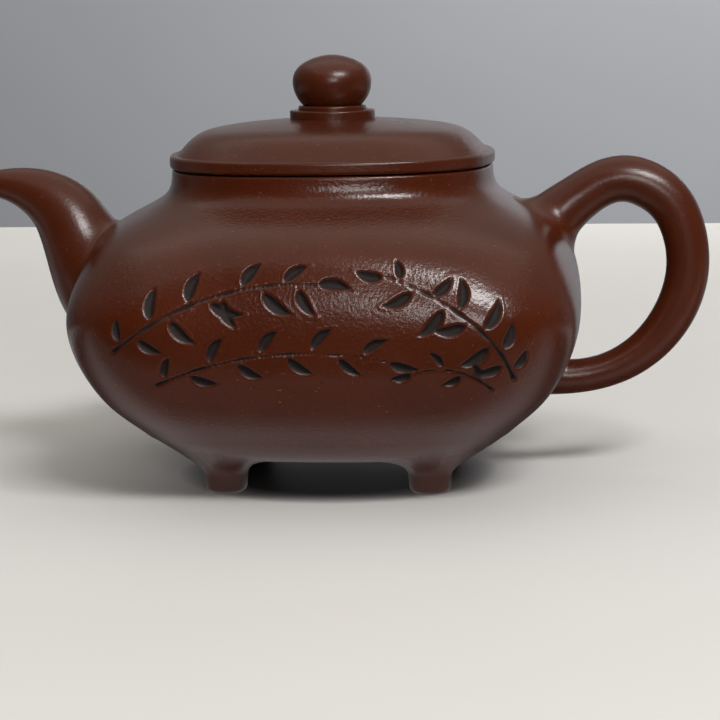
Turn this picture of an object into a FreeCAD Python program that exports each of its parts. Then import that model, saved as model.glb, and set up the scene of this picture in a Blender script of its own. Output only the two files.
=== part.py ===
# A clay teapot with a squarish bulging body on four feet, built from the clay pieces that a potter
# lutes together. Millimetres, +Z up. The origin is on the table, midway between the four feet.
# +X points to the handle and -X to the spout.

import FreeCAD, Part
import math
import os

import Sketcher

# ---------------------------------------------------------------- driving dimensions

SIZES = {
    # clay walls
    "wall": 3.2,
    "fine_gap": 0.25,
    # pot
    "wall_seam": 54.5,
    "neck_seam": 59.0,
    "base_edge": 1.2,
    "foot_centre": 20.3,
    # spout opening in the wall, and the ball filter behind it
    "opening_height": 40.5,
    "opening_radius": 7.0,
    "opening_start": 32.0,
    "filter_centre": 46.5,
    "filter_radius": 8.6,
    "filter_wall": 1.5,
    "filter_hole": 0.9,
    # handle: a top arc that runs on into a larger lower arc
    "top_arc_x": 57.3,
    "top_arc_z": 46.4,
    "top_arc_radius": 13.6,
    "low_arc_x": 47.3,
    "low_arc_z": 43.9,
    "low_arc_radius": 24.2,
    # lid
    "rim_half": 32.7,
    "rim_edge": 0.7,
    "lid_square": 0.46,
    "lid_opening": 25.6,
    "flange_half": 28.6,
    "flange_depth": 8.0,
    # knob
    "ring_low_radius": 8.6,
    "ring_low_thick": 1.8,
    "ring_high_radius": 6.9,
    "ring_high_thick": 0.9,
    "ring_edge": 0.4,
    "ball_half": 7.95,
    "ball_top": 85.3,
    "ball_equator": 80.0,
    "ball_low_radius": 6.5,
    "ball_high_radius": 4.2,
    "vent_radius": 1.0,
}

# Rounded-square levels: height, half width across the flats, squareness (0 is round, 1 is square-sided).
BODY_LEVELS = [
    (7.5, 32.6, 0.81),
    (8.7, 34.0, 0.82),
    (12.3, 37.6, 0.86),
    (18.0, 43.4, 0.91),
    (24.6, 47.5, 0.95),
    (31.2, 49.7, 0.98),
    (37.8, 49.9, 0.99),
    (44.4, 48.7, 0.86),
    (50.0, 46.2, 0.65),
    (53.8, 41.3, 0.47),
    (56.6, 35.9, 0.44),
    (59.1, 33.0, 0.45),
    (61.1, 32.4, 0.46),
    (63.2, 32.3, 0.46),
]
FOOT_LEVELS = [
    (0.0, 3.1, 0.50),
    (0.7, 3.9, 0.50),
    (2.8, 4.3, 0.52),
    (4.7, 5.2, 0.52),
    (6.3, 7.3, 0.50),
    (7.5, 10.8, 0.46),
]
FOOT_LEANS = [0.0, 0.0, 0.0, 0.0, 0.0, 0.2]
DOME_LEVELS = [
    (66.0, 31.2, 0.46),
    (67.4, 29.9, 0.46),
    (68.8, 28.5, 0.44),
    (69.9, 26.9, 0.42),
    (70.8, 24.3, 0.38),
    (71.4, 20.8, 0.32),
    (71.9, 16.4, 0.25),
    (72.3, 12.0, 0.18),
    (72.5, 9.0, 0.12),
]
HOLLOW_LEVELS = [
    (66.0, 25.6, 0.46),
    (67.1, 24.4, 0.42),
    (68.1, 21.6, 0.34),
    (68.8, 16.0, 0.24),
    (69.2, 9.0, 0.12),
]

# Round stations: x, z, direction of the centreline in degrees, radius.
SPOUT_STATIONS = [
    (-42.0, 36.5, 12, 12.6),
    (-48.3, 39.7, 18, 12.2),
    (-51.8, 44.9, 35, 9.9),
    (-54.4, 50.8, 42, 8.0),
    (-57.3, 55.3, 41, 6.4),
    (-61.3, 58.0, 28, 5.05),
    (-65.5, 59.4, 17, 3.8),
    (-68.8, 59.8, 8, 3.0),
    (-71.8, 59.7, 2, 2.5),
]
SPOUT_WALLS = [2.8, 2.7, 2.5, 2.3, 2.1, 1.8, 1.4, 1.1, 0.9]
HANDLE_ROOT = [
    (40.6, 47.9, 52, 7.2),
    (45.0, 52.4, 46, 5.7),
    (50.5, 56.8, 35, 4.75),
    (55.6, 59.45, 15, 4.65),
]
TOP_ARC = [(82, 4.7), (65, 4.75), (38, 4.6), (12, 4.4)]
LOW_ARC = [(-4, 4.3), (-24, 4.2), (-44, 3.9), (-64, 3.55), (-84, 3.45)]
HANDLE_END = [(40.0, 19.9, -180, 4.0)]

# Each foot: name, quarter turns about the axis, sign of x, sign of y.
FEET = [
    ("foot_back_right", 0, 1, 1),
    ("foot_back_left", 1, -1, 1),
    ("foot_front_left", 2, -1, -1),
    ("foot_front_right", 3, 1, -1),
]
# Rings of filter holes: tilt off the inward axis in degrees, number of holes.
FILTER_RINGS = [(32, 6), (60, 11)]

# How fast the side arcs flatten and the corner arcs tighten as squareness goes from 0 to 1.
ROUND_GAIN = 0.92
CORNER_GAIN = 0.6
# Wider than the whole pot.
BIG = 200.0
# How close two heights are when they count as the same.
NEAR = 0.01

doc = FreeCAD.newDocument("teapot")
sheet = doc.addObject("Spreadsheet::Sheet", "Sizes")
vec = FreeCAD.Vector
up = vec(0, 0, 1)
row_count = 0


def cell(alias, value):
    """Put a plain number in the sheet under an alias, with its name beside it."""
    global row_count
    row_count += 1
    sheet.set(f"A{row_count}", alias)
    sheet.set(f"B{row_count}", str(value))
    sheet.setAlias(f"B{row_count}", alias)


def fill_sheet():
    for alias, value in SIZES.items():
        cell(alias, value)
    tables = {"body": BODY_LEVELS, "foot": FOOT_LEVELS, "dome": DOME_LEVELS, "hollow": HOLLOW_LEVELS}
    for table, levels in tables.items():
        for n, (height, half, square) in enumerate(levels):
            cell(f"{table}_{n}_height", height)
            cell(f"{table}_{n}_half", half)
            cell(f"{table}_{n}_square", square)
    stations = {"spout": SPOUT_STATIONS, "root": HANDLE_ROOT, "tail": HANDLE_END}
    for table, rows in stations.items():
        for n, (x, z, turn, radius) in enumerate(rows):
            cell(f"{table}_{n}_across", x)
            cell(f"{table}_{n}_height", z)
            cell(f"{table}_{n}_turn", turn)
            cell(f"{table}_{n}_radius", radius)
    for n, lean in enumerate(FOOT_LEANS):
        cell(f"foot_{n}_lean", lean)
    for n, thick in enumerate(SPOUT_WALLS):
        cell(f"spout_{n}_wall", thick)
    for table, rows in {"top": TOP_ARC, "low": LOW_ARC}.items():
        for n, (angle, radius) in enumerate(rows):
            cell(f"{table}_{n}_angle", angle)
            cell(f"{table}_{n}_radius", radius)
    doc.recompute()


def new_body(label):
    body = doc.addObject("PartDesign::Body", label)
    body.Label = label
    return body


def new_sketch(body, name, role):
    """A sketch on one of the body's own origin planes."""
    sketch = body.newObject("Sketcher::SketchObject", name)
    plane = next(item for item in body.Origin.OriginFeatures if item.Role == role)
    sketch.AttachmentSupport = [(plane, "")]
    sketch.MapMode = "FlatFace"
    return sketch


def bound(sketch, constraint, name, expression):
    """Add a constraint and tie it to the sheet."""
    index = sketch.addConstraint(constraint)
    sketch.renameConstraint(index, name)
    sketch.setExpression(f"Constraints.{name}", expression)


def value(rule):
    """What a rule made of sheet aliases comes to."""
    return float(sheet.evalExpression(rule))


def rounded_square(sketch, half_rule, square_rule):
    """Four shallow side arcs and four corner arcs, tangent all round."""
    side_rule = f"({half_rule}) / (1 - {ROUND_GAIN} * {square_rule})"
    corner_rule = f"({half_rule}) * (1 - {CORNER_GAIN} * {square_rule})"
    gap_rule = f"({side_rule} - ({half_rule}))"
    centre_rule = f"(sqrt(2 * ({side_rule} - {corner_rule})^2 - {gap_rule}^2) - {gap_rule}) / 2"
    side = value(side_rule)
    corner = value(corner_rule)
    centre = value(centre_rule)
    side_x = value(half_rule) - side
    swing = math.atan2(centre, centre - side_x)
    for quarter in range(4):
        turn = quarter * math.pi / 2
        turned = FreeCAD.Rotation(up, math.degrees(turn))
        side_arc = Part.Circle(turned.multVec(vec(side_x, 0, 0)), up, side)
        corner_arc = Part.Circle(turned.multVec(vec(centre, centre, 0)), up, corner)
        sketch.addGeometry(Part.ArcOfCircle(side_arc, turn - swing, turn + swing))
        sketch.addGeometry(Part.ArcOfCircle(corner_arc, turn + swing, turn + math.pi / 2 - swing))
    for edge in range(8):
        sketch.addConstraint(Sketcher.Constraint("Tangent", edge, 2, (edge + 1) % 8, 1))
    for edge in (2, 4, 6):
        sketch.addConstraint(Sketcher.Constraint("Equal", 0, edge))
        sketch.addConstraint(Sketcher.Constraint("Equal", 1, edge + 1))
    sketch.addConstraint(Sketcher.Constraint("Symmetric", 1, 3, 3, 3, -2))
    sketch.addConstraint(Sketcher.Constraint("Symmetric", 1, 3, 7, 3, -1))
    sketch.addConstraint(Sketcher.Constraint("Symmetric", 1, 3, 5, 3, -1, 1))
    bound(sketch, Sketcher.Constraint("Radius", 0, side), "side", side_rule)
    bound(sketch, Sketcher.Constraint("Radius", 1, corner), "corner", corner_rule)
    bound(sketch, Sketcher.Constraint("DistanceX", -1, 1, 1, 3, centre), "centre_x", centre_rule)
    bound(sketch, Sketcher.Constraint("DistanceY", -1, 1, 1, 3, centre), "centre_y", centre_rule)


def level_sketches(body, table, levels):
    """One rounded square per level of a table, each at its own height."""
    sketches = []
    for n in range(len(levels)):
        sketch = new_sketch(body, f"{body.Name}_{table}_{n}", "XY_Plane")
        sketch.setExpression("AttachmentOffset.Base.z", f"Sizes.{table}_{n}_height")
        rounded_square(sketch, f"Sizes.{table}_{n}_half", f"Sizes.{table}_{n}_square")
        sketches.append(sketch)
    return sketches


def loft(body, kind, name, sketches):
    """An additive or subtractive loft through the sketches."""
    feature = body.newObject(f"PartDesign::{kind}", name)
    feature.Profile = sketches[0]
    feature.Sections = sketches[1:]
    doc.recompute()
    return feature


def square_ring(body, half_rule, opening_rule, low_rule, high_rule):
    """A rounded-square pad between two heights with a rounded-square opening through it."""
    outline = new_sketch(body, f"{body.Name}_outline", "XY_Plane")
    outline.setExpression("AttachmentOffset.Base.z", low_rule)
    rounded_square(outline, half_rule, "Sizes.lid_square")
    pad = body.newObject("PartDesign::Pad", f"{body.Name}_pad")
    pad.Profile = outline
    pad.setExpression("Length", f"{high_rule} - ({low_rule})")
    doc.recompute()
    opening = new_sketch(body, f"{body.Name}_opening", "XY_Plane")
    rounded_square(opening, opening_rule, "Sizes.lid_square")
    pocket = body.newObject("PartDesign::Pocket", f"{body.Name}_pocket")
    pocket.Profile = opening
    pocket.Type = "ThroughAll"
    pocket.Reversed = True
    doc.recompute()
    return pocket


def soften(body, feature, radius_rule, picks):
    """A fillet on the edges of a feature that the test picks."""
    edges = [f"Edge{n + 1}" for n, edge in enumerate(feature.Shape.Edges) if picks(edge)]
    fillet = body.newObject("PartDesign::Fillet", f"{body.Name}_soft_edge")
    fillet.Base = (feature, edges)
    fillet.setExpression("Radius", radius_rule)
    doc.recompute()
    return fillet


def circle_sketch(body, name, across, height, turn, radius):
    """A circle square to a centreline in the XZ plane; the four places are sheet rules."""
    sketch = new_sketch(body, name, "YZ_Plane")
    sketch.AttachmentOffset = FreeCAD.Placement(vec(), FreeCAD.Rotation(vec(1, 0, 0), 1))
    sketch.setExpression("AttachmentOffset.Base.z", across)
    sketch.setExpression("AttachmentOffset.Base.y", height)
    sketch.setExpression("AttachmentOffset.Rotation.Angle", turn)
    sketch.addGeometry(Part.Circle(vec(), up, 1))
    sketch.addConstraint(Sketcher.Constraint("Coincident", 0, 3, -1, 1))
    bound(sketch, Sketcher.Constraint("Radius", 0, 1), "radius", radius)
    return sketch


def vent_pocket(body):
    """The vent down the axis, cut from the underside to the top."""
    sketch = new_sketch(body, f"{body.Name}_vent_outline", "XY_Plane")
    sketch.addGeometry(Part.Circle(vec(), up, 1))
    sketch.addConstraint(Sketcher.Constraint("Coincident", 0, 3, -1, 1))
    bound(sketch, Sketcher.Constraint("Radius", 0, 1), "radius", "Sizes.vent_radius")
    pocket = body.newObject("PartDesign::Pocket", f"{body.Name}_vent")
    pocket.Profile = sketch
    pocket.Type = "ThroughAll"
    pocket.Reversed = True
    doc.recompute()
    return pocket


# ---------------------------------------------------------------- pot


def pot_form():
    """The outside of base, wall, shoulder and neck as one solid, which trims everything luted to it."""
    body = new_body("pot_form")
    loft(body, "AdditiveLoft", "pot_form_loft", level_sketches(body, "body", BODY_LEVELS))
    return body


def pot_hollow(form):
    """The same form with an even wall, open at the mouth."""
    mouth = max(range(len(form.Shape.Faces)), key=lambda n: form.Shape.Faces[n].CenterOfMass.z)
    hollow = doc.addObject("Part::Thickness", "pot_hollow")
    hollow.Faces = (form, [f"Face{mouth + 1}"])
    hollow.setExpression("Value", "-Sizes.wall")
    doc.recompute()
    return hollow


def slab(name, low, high):
    """A wide flat block between two heights, used to take one piece out of the hollow form."""
    block = doc.addObject("Part::Box", name)
    block.Length = BIG
    block.Width = BIG
    block.setExpression("Height", f"{high} - ({low})")
    block.Placement.Base = vec(-BIG / 2, -BIG / 2, 0)
    block.setExpression("Placement.Base.z", low)
    return block


def common(label, base, tool):
    feature = doc.addObject("Part::Common", label)
    feature.Base = base
    feature.Tool = tool
    feature.Label = label
    doc.recompute()
    return feature


def cut(label, base, tool):
    feature = doc.addObject("Part::Cut", label)
    feature.Base = base
    feature.Tool = tool
    feature.Label = label
    doc.recompute()
    return feature


def base_plate(hollow):
    """The bottom slab, with its lower edge softened."""
    floor = "Sizes.body_0_height + Sizes.wall"
    blank = common("base_blank", hollow, slab("base_slab", "Sizes.body_0_height", floor))
    plate = doc.addObject("Part::Fillet", "base_plate")
    plate.Base = blank
    low_edges = []
    for n, edge in enumerate(blank.Shape.Edges):
        if edge.BoundBox.ZMax < BODY_LEVELS[0][0] + NEAR:
            low_edges.append((n + 1, SIZES["base_edge"], SIZES["base_edge"]))
    plate.Edges = low_edges
    plate.Label = "base_plate"
    doc.recompute()
    return plate


def body_wall(hollow):
    """The bulging wall, pierced where the spout joins it."""
    floor = "Sizes.body_0_height + Sizes.wall"
    blank = common("wall_blank", hollow, slab("wall_slab", floor, "Sizes.wall_seam"))
    drill = doc.addObject("Part::Cylinder", "spout_opening")
    drill.setExpression("Radius", "Sizes.opening_radius")
    drill.setExpression("Height", "Sizes.opening_start")
    drill.Placement = FreeCAD.Placement(vec(), FreeCAD.Rotation(vec(0, 1, 0), -90))
    drill.setExpression("Placement.Base.x", "-Sizes.opening_start")
    drill.setExpression("Placement.Base.z", "Sizes.opening_height")
    return cut("body_wall", blank, drill)


def shoulder_plate(hollow):
    block = slab("shoulder_slab", "Sizes.wall_seam", "Sizes.neck_seam")
    return common("shoulder_plate", hollow, block)


def neck_collar(hollow):
    top = f"Sizes.body_{len(BODY_LEVELS) - 1}_height"
    return common("neck_collar", hollow, slab("neck_slab", "Sizes.neck_seam", top))


def foot(label, quarter, side_x, side_y):
    """A short tapered foot that flares inwards to the base slab, turned to its corner."""
    body = new_body(label)
    sketches = level_sketches(body, "foot", FOOT_LEVELS)
    for n, sketch in enumerate(sketches):
        sketch.setExpression("AttachmentOffset.Base.x", f"-Sizes.foot_{n}_lean")
        sketch.setExpression("AttachmentOffset.Base.y", f"-Sizes.foot_{n}_lean")
    loft(body, "AdditiveLoft", f"{label}_loft", sketches)
    body.Placement = FreeCAD.Placement(vec(), FreeCAD.Rotation(up, 90 * quarter))
    body.setExpression("Placement.Base.x", f"{side_x} * Sizes.foot_centre")
    body.setExpression("Placement.Base.y", f"{side_y} * Sizes.foot_centre")
    doc.recompute()
    return body


def spout(form):
    """The hollow horn, trimmed where it sits on the wall."""
    body = new_body("spout_horn")
    outer = []
    bore = []
    for n in range(len(SPOUT_STATIONS)):
        place = [f"Sizes.spout_{n}_across", f"Sizes.spout_{n}_height", f"Sizes.spout_{n}_turn"]
        outer.append(circle_sketch(body, f"horn_{n}", *place, f"Sizes.spout_{n}_radius"))
        inner_rule = f"Sizes.spout_{n}_radius - Sizes.spout_{n}_wall"
        bore.append(circle_sketch(body, f"bore_{n}", *place, inner_rule))
    loft(body, "AdditiveLoft", "horn_loft", outer)
    loft(body, "SubtractiveLoft", "bore_loft", bore)
    return cut("spout", body, form)


def ball(name, radius_rule):
    """A full ball centred where the spout opening meets the inside of the wall."""
    sphere = doc.addObject("Part::Sphere", name)
    sphere.setExpression("Radius", radius_rule)
    sphere.setExpression("Placement.Base.x", "-Sizes.filter_centre")
    sphere.setExpression("Placement.Base.z", "Sizes.opening_height")
    return sphere


def filter_drill(name, tilt, turn):
    """One straight hole from the ball's centre, tilted off the inward axis and turned about it."""
    drill = doc.addObject("Part::Cylinder", name)
    drill.setExpression("Radius", "Sizes.filter_hole")
    drill.setExpression("Height", "2 * Sizes.filter_radius")
    inward = FreeCAD.Rotation(vec(1, 0, 0), turn) * FreeCAD.Rotation(vec(0, 1, 0), 90 - tilt)
    drill.Placement = FreeCAD.Placement(vec(), inward)
    drill.setExpression("Placement.Base.x", "-Sizes.filter_centre")
    drill.setExpression("Placement.Base.z", "Sizes.opening_height")
    return drill


def strainer_dome(form, hollow):
    """A pierced half ball inside the wall, over the spout opening."""
    shell = cut("filter_shell", ball("filter_ball", "Sizes.filter_radius"),
                ball("filter_bore", "Sizes.filter_radius - Sizes.filter_wall"))
    half = common("filter_half", shell, cut("tea_space", form, hollow))
    drills = [filter_drill("filter_drill_centre", 0, 0)]
    for ring, (tilt, count) in enumerate(FILTER_RINGS):
        for n in range(count):
            drills.append(filter_drill(f"filter_drill_{ring}_{n}", tilt, 360 * n / count))
    drilling = doc.addObject("Part::MultiFuse", "filter_drilling")
    drilling.Shapes = drills
    return cut("strainer_dome", half, drilling)


def handle(form):
    """The rolled ear handle, thick where it joins the shoulder, trimmed by the wall at both ends."""
    body = new_body("handle_roll")
    sketches = []
    for n in range(len(HANDLE_ROOT)):
        place = [f"Sizes.root_{n}_across", f"Sizes.root_{n}_height", f"-Sizes.root_{n}_turn"]
        sketches.append(circle_sketch(body, f"root_{n}", *place, f"Sizes.root_{n}_radius"))
    for arc, rows in (("top", TOP_ARC), ("low", LOW_ARC)):
        for n in range(len(rows)):
            angle = f"Sizes.{arc}_{n}_angle"
            across = f"Sizes.{arc}_arc_x + Sizes.{arc}_arc_radius * cos({angle} * 1 deg)"
            height = f"Sizes.{arc}_arc_z + Sizes.{arc}_arc_radius * sin({angle} * 1 deg)"
            place = [across, height, f"90 - {angle}"]
            sketches.append(circle_sketch(body, f"{arc}_{n}", *place, f"Sizes.{arc}_{n}_radius"))
    for n in range(len(HANDLE_END)):
        place = [f"Sizes.tail_{n}_across", f"Sizes.tail_{n}_height", f"-Sizes.tail_{n}_turn"]
        sketches.append(circle_sketch(body, f"tail_{n}", *place, f"Sizes.tail_{n}_radius"))
    loft(body, "AdditiveLoft", "handle_loft", sketches)
    return cut("handle", body, form)


# ---------------------------------------------------------------- lid

LID_LOW = f"(Sizes.body_{len(BODY_LEVELS) - 1}_height + Sizes.fine_gap)"
LID_HIGH = "Sizes.dome_0_height"
RING_LOW = f"Sizes.dome_{len(DOME_LEVELS) - 1}_height"
RING_MIDDLE = f"({RING_LOW} + Sizes.ring_low_thick)"
RING_HIGH = f"({RING_MIDDLE} + Sizes.ring_high_thick)"


def lid_plate():
    """The visible rim of the lid: a ring slab with softened outer edges."""
    body = new_body("lid_plate")
    ring = square_ring(body, "Sizes.rim_half", "Sizes.lid_opening", LID_LOW, LID_HIGH)
    soften(body, ring, "Sizes.rim_edge", lambda edge: is_flat_outer(edge, SIZES["flange_half"]))
    return body


def is_flat_outer(edge, clear):
    """Whether an edge lies level and further out than a given reach."""
    middle = edge.valueAt((edge.FirstParameter + edge.LastParameter) / 2)
    level = edge.BoundBox.ZLength < NEAR
    return level and math.hypot(middle.x, middle.y) > clear


def lid_dome():
    """The low crown of the lid, hollow beneath."""
    body = new_body("lid_dome")
    loft(body, "AdditiveLoft", "dome_loft", level_sketches(body, "dome", DOME_LEVELS))
    loft(body, "SubtractiveLoft", "hollow_loft", level_sketches(body, "hollow", HOLLOW_LEVELS))
    vent_pocket(body)
    return body


def lid_flange():
    """The upright ring that drops into the mouth."""
    body = new_body("lid_flange")
    low_rule = f"{LID_LOW} - Sizes.flange_depth"
    ring = square_ring(body, "Sizes.flange_half", "Sizes.lid_opening", low_rule, LID_LOW)
    low = value(low_rule)
    soften(body, ring, "Sizes.rim_edge", lambda edge: edge.BoundBox.ZMax < low + NEAR)
    return body


def knob_ring(label, radius_rule, low_rule, high_rule):
    """A round disc with a softened upper edge and the vent down its middle."""
    body = new_body(label)
    outline = new_sketch(body, f"{label}_outline", "XY_Plane")
    outline.setExpression("AttachmentOffset.Base.z", low_rule)
    outline.addGeometry(Part.Circle(vec(), up, value(radius_rule)))
    outline.addConstraint(Sketcher.Constraint("Coincident", 0, 3, -1, 1))
    bound(outline, Sketcher.Constraint("Radius", 0, value(radius_rule)), "radius", radius_rule)
    pad = body.newObject("PartDesign::Pad", f"{label}_pad")
    pad.Profile = outline
    pad.setExpression("Length", f"{high_rule} - {low_rule}")
    doc.recompute()
    top = value(high_rule)
    soften(body, pad, "Sizes.ring_edge", lambda edge: edge.BoundBox.ZMin > top - NEAR)
    vent_pocket(body)
    return body


def knob_ball():
    """A flattened ball: one arc below the equator, a tighter one above it and a wide one over the top."""
    body = new_body("knob_ball")
    low = value(RING_HIGH)
    half, top, equator = SIZES["ball_half"], SIZES["ball_top"], SIZES["ball_equator"]
    low_radius, high_radius = SIZES["ball_low_radius"], SIZES["ball_high_radius"]
    low_centre = vec(half - low_radius, equator, 0)
    high_centre = vec(half - high_radius, equator, 0)
    rise = top - equator
    crown_radius = (rise ** 2 + high_centre.x ** 2 - high_radius ** 2) / (2 * (rise - high_radius))
    crown_centre = vec(0, top - crown_radius, 0)
    low_angle = math.asin((low - equator) / low_radius)
    meet = math.atan2(high_centre.y - crown_centre.y, high_centre.x)
    low_start = low_centre + vec(low_radius * math.cos(low_angle), low_radius * math.sin(low_angle), 0)
    outline = new_sketch(body, "ball_outline", "XZ_Plane")
    outline.addGeometry(Part.LineSegment(vec(0, low, 0), low_start))
    outline.addGeometry(Part.ArcOfCircle(Part.Circle(low_centre, up, low_radius), low_angle, 0))
    outline.addGeometry(Part.ArcOfCircle(Part.Circle(high_centre, up, high_radius), 0, meet))
    outline.addGeometry(Part.ArcOfCircle(Part.Circle(crown_centre, up, crown_radius), meet, math.pi / 2))
    outline.addGeometry(Part.LineSegment(vec(0, top, 0), vec(0, low, 0)))
    rules = [
        Sketcher.Constraint("Coincident", 0, 2, 1, 1),
        Sketcher.Constraint("Tangent", 1, 2, 2, 1),
        Sketcher.Constraint("Tangent", 2, 2, 3, 1),
        Sketcher.Constraint("Coincident", 3, 2, 4, 1),
        Sketcher.Constraint("Coincident", 4, 2, 0, 1),
        Sketcher.Constraint("Horizontal", 0),
        Sketcher.Constraint("Horizontal", 1, 3, 1, 2),
        Sketcher.Constraint("PointOnObject", 0, 1, -2),
        Sketcher.Constraint("PointOnObject", 3, 3, -2),
        Sketcher.Constraint("PointOnObject", 3, 2, -2),
    ]
    for rule in rules:
        outline.addConstraint(rule)
    bound(outline, Sketcher.Constraint("Radius", 1, low_radius), "low_radius", "Sizes.ball_low_radius")
    bound(outline, Sketcher.Constraint("Radius", 2, high_radius), "high_radius", "Sizes.ball_high_radius")
    bound(outline, Sketcher.Constraint("DistanceX", -1, 1, 1, 2, half), "half", "Sizes.ball_half")
    bound(outline, Sketcher.Constraint("DistanceY", -1, 1, 1, 2, equator), "equator", "Sizes.ball_equator")
    bound(outline, Sketcher.Constraint("DistanceY", -1, 1, 3, 2, top), "top", "Sizes.ball_top")
    bound(outline, Sketcher.Constraint("DistanceY", -1, 1, 0, 1, low), "low", RING_HIGH)
    turned = body.newObject("PartDesign::Revolution", "ball_turned")
    turned.Profile = outline
    turned.ReferenceAxis = (outline, ["V_Axis"])
    turned.Angle = 360
    doc.recompute()
    vent_pocket(body)
    return body


# ---------------------------------------------------------------- build, check, export


def check(pieces):
    """Stop before writing anything if an object failed or a cut took nothing away."""
    for item in doc.Objects:
        if "Invalid" in item.State or "Error" in item.State:
            raise RuntimeError(f"{item.Name} failed: {item.State}")
        if item.TypeId in ("PartDesign::Pocket", "PartDesign::SubtractiveLoft"):
            if item.Shape.Volume > item.BaseFeature.Shape.Volume - NEAR:
                raise RuntimeError(f"{item.Name} cuts nothing")
    for piece in pieces:
        if piece.Shape.isNull() or not piece.Shape.isValid() or len(piece.Shape.Solids) != 1:
            raise RuntimeError(f"{piece.Label} is not one valid solid")


def main():
    fill_sheet()
    form = pot_form()
    hollow = pot_hollow(form)
    pieces = [base_plate(hollow), body_wall(hollow), shoulder_plate(hollow), neck_collar(hollow)]
    pieces += [foot(*place) for place in FEET]
    pieces += [spout(form), strainer_dome(form, hollow), handle(form)]
    pieces += [lid_plate(), lid_dome(), lid_flange()]
    pieces.append(knob_ring("knob_ring_lower", "Sizes.ring_low_radius", RING_LOW, RING_MIDDLE))
    pieces.append(knob_ring("knob_ring_upper", "Sizes.ring_high_radius", RING_MIDDLE, RING_HIGH))
    pieces.append(knob_ball())
    doc.recompute()
    check(pieces)
    os.makedirs("parts", exist_ok=True)
    for piece in pieces:
        piece.Shape.exportStep(f"parts/{piece.Label}.step")
        print(piece.Label, round(piece.Shape.Volume), "mm3")
    tea = doc.getObject("tea_space").Shape.Volume / 1000
    print("inside to the brim", round(tea), "ml")


main()
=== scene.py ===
# A clay teapot round its CAD frame: fine clay surfaces, an incised leaf spray, clay materials, soft light.
# Tables are in millimetres; every mesh is written in metres in the frame's own axes.

import math

import bpy
import numpy as np
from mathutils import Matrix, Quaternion, Vector
from mathutils.bvhtree import BVHTree


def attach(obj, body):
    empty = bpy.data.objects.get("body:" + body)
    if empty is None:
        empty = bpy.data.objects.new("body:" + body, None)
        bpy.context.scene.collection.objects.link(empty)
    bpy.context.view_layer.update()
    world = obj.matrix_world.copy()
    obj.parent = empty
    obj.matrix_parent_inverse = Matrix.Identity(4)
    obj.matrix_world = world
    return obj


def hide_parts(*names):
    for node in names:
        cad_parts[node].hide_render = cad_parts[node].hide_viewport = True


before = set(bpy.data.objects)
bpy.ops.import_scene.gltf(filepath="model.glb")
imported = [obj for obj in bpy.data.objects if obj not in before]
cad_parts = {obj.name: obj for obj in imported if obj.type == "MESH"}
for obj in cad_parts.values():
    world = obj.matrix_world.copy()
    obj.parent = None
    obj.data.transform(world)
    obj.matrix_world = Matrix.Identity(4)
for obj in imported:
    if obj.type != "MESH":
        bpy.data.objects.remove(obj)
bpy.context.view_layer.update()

MM = 0.001
WALL = 3.2

# Height, half width across the flats, squareness (0 is round, 1 is square-sided).
BODY_LEVELS = [
    (7.5, 32.6, 0.81),
    (8.7, 34.0, 0.82),
    (12.3, 37.6, 0.86),
    (18.0, 43.4, 0.91),
    (24.6, 47.5, 0.95),
    (31.2, 49.7, 0.98),
    (37.8, 49.9, 0.99),
    (44.4, 48.7, 0.86),
    (50.0, 46.2, 0.65),
    (53.8, 41.3, 0.47),
    (56.6, 35.9, 0.44),
    (59.1, 33.0, 0.45),
    (61.1, 32.4, 0.46),
    (63.2, 32.3, 0.46),
]
# Height, half width, squareness of the upright part of a foot.
FOOT_LEVELS = [
    (0.0, 3.1, 0.50),
    (0.6, 3.9, 0.50),
    (1.8, 4.15, 0.52),
    (3.4, 4.3, 0.52),
]
FOOT_CENTRE = 20.3
# How far from its middle a foot's blend lands on the body, inwards and outwards, and how stiffly it leaves.
FOOT_REACH = (10.5, 13.4)
FOOT_RISE = 1.7
FOOT_PULL = 0.52
# Half widths of the rows across a foot's flat sole.
SOLE_HALVES = (0.5, 1.4, 2.2, 2.8)

# Centreline x and z, radius, and climb of the section's axis in degrees.
SPOUT_STATIONS = [
    (-42.0, 36.5, 12.6, 12),
    (-48.3, 39.7, 12.2, 18),
    (-51.8, 44.9, 9.9, 35),
    (-54.4, 50.8, 8.0, 42),
    (-57.3, 55.3, 6.4, 41),
    (-61.3, 58.0, 5.05, 28),
    (-65.5, 59.4, 3.8, 17),
    (-68.8, 59.8, 3.0, 8),
    (-71.8, 59.7, 2.5, 2),
]
# Wall thickness at each station of the spout.
SPOUT_WALLS = [2.8, 2.7, 2.5, 2.3, 2.1, 1.8, 1.4, 1.1, 0.9]
# Centreline x and z, radius.
HANDLE_STATIONS = [
    (40.6, 47.9, 7.2),
    (45.0, 52.4, 5.7),
    (50.5, 56.8, 4.75),
    (55.6, 59.45, 4.65),
    (59.2, 59.85, 4.7),
    (63.05, 58.75, 4.75),
    (68.0, 54.8, 4.6),
    (70.6, 49.2, 4.4),
    (71.4, 42.2, 4.3),
    (69.4, 34.1, 4.2),
    (64.7, 27.1, 3.9),
    (57.9, 22.1, 3.55),
    (49.8, 19.8, 3.45),
    (40.0, 19.9, 4.0),
]


# ---------------------------------------------------------------- curves and grids


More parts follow.
